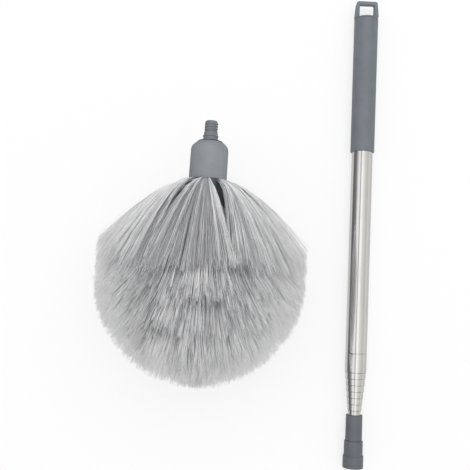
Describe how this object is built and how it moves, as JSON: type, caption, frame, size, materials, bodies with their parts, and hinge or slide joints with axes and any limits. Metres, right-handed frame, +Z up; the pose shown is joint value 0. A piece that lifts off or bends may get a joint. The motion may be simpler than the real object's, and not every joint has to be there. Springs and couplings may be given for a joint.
{
  "type": "cobweb brush",
  "caption": "Domed cobweb brush head with long radiating bristles, lying unscrewed beside its collapsed telescopic steel pole with grip, hang loop and screw socket.",
  "frame": {"origin": "on the surface that both pieces lie on, below the centre of their common outline", "axes": "+Y along the pole towards its hang loop, +X from the brush head towards the pole, +Z up"},
  "size_m": [0.2743, 0.4936, 0.1987],
  "materials": {
    "tube_steel": "polished thin-walled tube",
    "grip_plastic": "smooth satin blue-grey",
    "socket_plastic": "satin dark grey",
    "neck_plastic": "satin mid grey",
    "nylon": "natural white",
    "bolt_steel": "plain",
    "bristle_plastic": "silver-grey filament with a soft sheen"
  },
  "bodies": {
    "handle": {"grip": "grip_plastic", "hang_loop": "grip_plastic", "tube_1": "tube_steel"},
    "section_2": {"tube_2": "tube_steel", "bush_2": "nylon"},
    "section_3": {"tube_3": "tube_steel", "bush_3": "nylon"},
    "section_4": {"tube_4": "tube_steel", "bush_4": "nylon"},
    "section_5": {"tube_5": "tube_steel", "bush_5": "nylon"},
    "section_6": {"tube_6": "tube_steel", "bush_6": "nylon"},
    "section_7": {"tube_7": "tube_steel", "bush_7": "nylon"},
    "section_8": {"tube_8": "tube_steel", "bush_8": "nylon", "screw_socket": "socket_plastic"},
    "head": {"threaded_stub": "socket_plastic", "neck_shell": "neck_plastic", "core_spine": "nylon", "core_bolt": "bolt_steel", "bristle_row_1": "bristle_plastic", "bristle_row_2": "bristle_plastic", "bristle_row_3": "bristle_plastic", "bristle_row_4": "bristle_plastic", "bristle_row_5": "bristle_plastic", "bristle_row_6": "bristle_plastic", "bristle_row_7": "bristle_plastic"}
  },
  "joints": [
    {"name": "section_2_slide", "type": "slide", "parent": "handle", "child": "section_2", "axis": [0, -1, 0], "range_m": [0, 0.3235]},
    {"name": "section_3_slide", "type": "slide", "parent": "section_2", "child": "section_3", "axis": [0, -1, 0], "range_m": [0, 0.326]},
    {"name": "section_4_slide", "type": "slide", "parent": "section_3", "child": "section_4", "axis": [0, -1, 0], "range_m": [0, 0.3095]},
    {"name": "section_5_slide", "type": "slide", "parent": "section_4", "child": "section_5", "axis": [0, -1, 0], "range_m": [0, 0.293]},
    {"name": "section_6_slide", "type": "slide", "parent": "section_5", "child": "section_6", "axis": [0, -1, 0], "range_m": [0, 0.2765]},
    {"name": "section_7_slide", "type": "slide", "parent": "section_6", "child": "section_7", "axis": [0, -1, 0], "range_m": [0, 0.26]},
    {"name": "section_8_slide", "type": "slide", "parent": "section_7", "child": "section_8", "axis": [0, -1, 0], "range_m": [0, 0.2435]},
    {"name": "head_lift", "type": "slide", "parent": "handle", "child": "head", "axis": [0, 0, 1], "range_m": [0, 0.3]}
  ]
}
